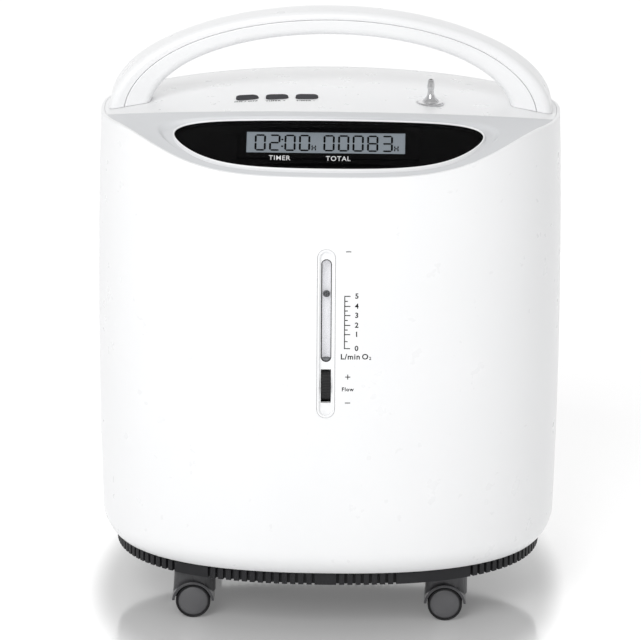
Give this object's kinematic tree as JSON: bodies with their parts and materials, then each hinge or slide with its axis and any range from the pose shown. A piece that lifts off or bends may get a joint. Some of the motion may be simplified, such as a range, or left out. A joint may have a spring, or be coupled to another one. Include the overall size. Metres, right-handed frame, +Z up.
{
  "type": "oxygen concentrator",
  "caption": "Oval upright oxygen concentrator on casters with an arched handle, a bowed display, a flow meter and a hose outlet.",
  "frame": {"origin": "on the floor, under the middle of the bounding box", "axes": "+X to the right seen from the front, the display and flow meter face -Y, +Z up"},
  "size_m": [0.4, 0.2849, 0.52],
  "materials": {
    "white_case": "glossy moulded white",
    "light_grey_fascia": "satin light grey",
    "dark_base": "fine-textured charcoal",
    "smoked_lens": "polished, printed black from behind",
    "black_inner": "matt black",
    "lcd_glass": "grey-green liquid crystal panel",
    "button_grey": "satin dark grey",
    "chrome": "polished plating",
    "steel": "plain steel",
    "clear_tube": "clear moulded flow tube",
    "float_black": "polished ball",
    "wheel_black": "ribbed black grip",
    "caster_plastic": "satin black",
    "caster_tread": "dark grey wheel",
    "filter_foam": "open-cell foam",
    "circuit_board": "green board",
    "cast_aluminium": "cast, slightly rough",
    "bright_aluminium": "turned",
    "copper_winding": "lacquered copper",
    "soft_rubber": "soft black rubber",
    "silicone_hose": "milky silicone",
    "inner_plastic": "mid grey",
    "capacitor_can": "drawn can"
  },
  "bodies": {
    "casing": {"front_case": "white_case", "rear_case": "white_case", "top_cover": "white_case", "handle_upper": "white_case", "handle_lower": "white_case", "flow_bezel": "white_case", "display_bezel": "light_grey_fascia", "display_lens": "smoked_lens", "display_mask": "black_inner", "display_tray": "black_inner", "lcd_panel": "lcd_glass", "control_board": "circuit_board", "power_board": "circuit_board", "oxygen_outlet": "chrome", "outlet_nut": "steel", "screws": "steel", "flow_tube": "clear_tube", "flow_tube_caps": "inner_plastic", "flow_valve": "inner_plastic", "base_tray": "dark_base", "caster_stems": "steel", "filter_foam": "filter_foam", "power_inlet": "black_inner", "breaker_body": "black_inner", "inner_frame": "inner_plastic", "compressor_body": "cast_aluminium", "pistons": "bright_aluminium", "motor_stator": "copper_winding", "cylinder_heads": "cast_aluminium", "rubber_mounts": "soft_rubber", "fan_frame": "black_inner", "sieve_beds": "bright_aluminium", "valve_block": "inner_plastic", "product_tank": "bright_aluminium", "bacteria_filter": "silicone_hose", "intake_silencer": "black_inner", "cooling_coil": "bright_aluminium", "run_capacitor": "capacitor_can", "inner_hoses": "silicone_hose"},
    "power_button": {"power_button": "button_grey"},
    "timer_up_button": {"timer_up_button": "button_grey"},
    "timer_down_button": {"timer_down_button": "button_grey"},
    "flow_wheel": {"flow_wheel": "wheel_black"},
    "flow_float": {"flow_float": "float_black"},
    "filter_cover": {"filter_cover": "white_case"},
    "breaker_button": {"breaker_button": "wheel_black"},
    "compressor_rotor": {"compressor_rotor": "steel"},
    "fan_rotor": {"fan_rotor": "black_inner"},
    "caster_fork_front_left": {"caster_hood_front_left": "caster_plastic"},
    "caster_roll_front_left": {"caster_axle_front_left": "steel", "caster_wheels_front_left": "caster_tread"},
    "caster_fork_front_right": {"caster_hood_front_right": "caster_plastic"},
    "caster_roll_front_right": {"caster_axle_front_right": "steel", "caster_wheels_front_right": "caster_tread"},
    "caster_fork_rear_left": {"caster_hood_rear_left": "caster_plastic"},
    "caster_roll_rear_left": {"caster_axle_rear_left": "steel", "caster_wheels_rear_left": "caster_tread"},
    "caster_fork_rear_right": {"caster_hood_rear_right": "caster_plastic"},
    "caster_roll_rear_right": {"caster_axle_rear_right": "steel", "caster_wheels_rear_right": "caster_tread"}
  },
  "joints": [
    {"name": "swivel_front_left", "type": "hinge", "parent": "casing", "child": "caster_fork_front_left", "pos_m": [-0.109, -0.076, 0.03], "axis": [0, 0, 1], "continuous": true},
    {"name": "roll_front_left", "type": "hinge", "parent": "caster_fork_front_left", "child": "caster_roll_front_left", "pos_m": [-0.1146, -0.076, 0.015], "axis": [0, 1, 0], "continuous": true},
    {"name": "swivel_front_right", "type": "hinge", "parent": "casing", "child": "caster_fork_front_right", "pos_m": [0.109, -0.076, 0.03], "axis": [0, 0, 1], "continuous": true},
    {"name": "roll_front_right", "type": "hinge", "parent": "caster_fork_front_right", "child": "caster_roll_front_right", "pos_m": [0.1034, -0.076, 0.015], "axis": [0, 1, 0], "continuous": true},
    {"name": "swivel_rear_left", "type": "hinge", "parent": "casing", "child": "caster_fork_rear_left", "pos_m": [-0.109, 0.076, 0.03], "axis": [0, 0, 1], "continuous": true},
    {"name": "roll_rear_left", "type": "hinge", "parent": "caster_fork_rear_left", "child": "caster_roll_rear_left", "pos_m": [-0.1146, 0.076, 0.015], "axis": [0, 1, 0], "continuous": true},
    {"name": "swivel_rear_right", "type": "hinge", "parent": "casing", "child": "caster_fork_rear_right", "pos_m": [0.109, 0.076, 0.03], "axis": [0, 0, 1], "continuous": true},
    {"name": "roll_rear_right", "type": "hinge", "parent": "caster_fork_rear_right", "child": "caster_roll_rear_right", "pos_m": [0.1034, 0.076, 0.015], "axis": [0, 1, 0], "continuous": true},
    {"name": "power_button_press", "type": "slide", "parent": "casing", "child": "power_button", "axis": [0, 0, 1], "range_m": [-0.0012, 0], "stiffness_N_per_m": 800, "springref_m": 0.0012},
    {"name": "timer_up_button_press", "type": "slide", "parent": "casing", "child": "timer_up_button", "axis": [0, 0, 1], "range_m": [-0.0012, 0], "stiffness_N_per_m": 800, "springref_m": 0.0012},
    {"name": "timer_down_button_press", "type": "slide", "parent": "casing", "child": "timer_down_button", "axis": [0, 0, 1], "range_m": [-0.0012, 0], "stiffness_N_per_m": 800, "springref_m": 0.0012},
    {"name": "flow_wheel_turn", "type": "hinge", "parent": "casing", "child": "flow_wheel", "pos_m": [0, -0.1262, 0.2285], "axis": [1, 0, 0], "range_deg": [-270, 0]},
    {"name": "flow_float_rise", "type": "slide", "parent": "casing", "child": "flow_float", "axis": [0, 0, 1], "range_m": [-0.046, 0]},
    {"name": "filter_cover_pull", "type": "slide", "parent": "casing", "child": "filter_cover", "axis": [0, 1, 0], "range_m": [0, 0.03]},
    {"name": "breaker_press", "type": "slide", "parent": "casing", "child": "breaker_button", "axis": [0, 1, 0], "range_m": [-0.002, 0], "stiffness_N_per_m": 800, "springref_m": 0.002},
    {"name": "compressor_spin", "type": "hinge", "parent": "casing", "child": "compressor_rotor", "pos_m": [0.025, 0.005, 0.128], "axis": [1, 0, 0], "continuous": true},
    {"name": "fan_spin", "type": "hinge", "parent": "casing", "child": "fan_rotor", "pos_m": [0.025, 0.005, 0.262], "axis": [0, 0, 1], "continuous": true}
  ],
  "couplings": [
    {"joint": "flow_float_rise", "follows": "flow_wheel_turn", "m_per_rad": 0.009655}
  ]
}
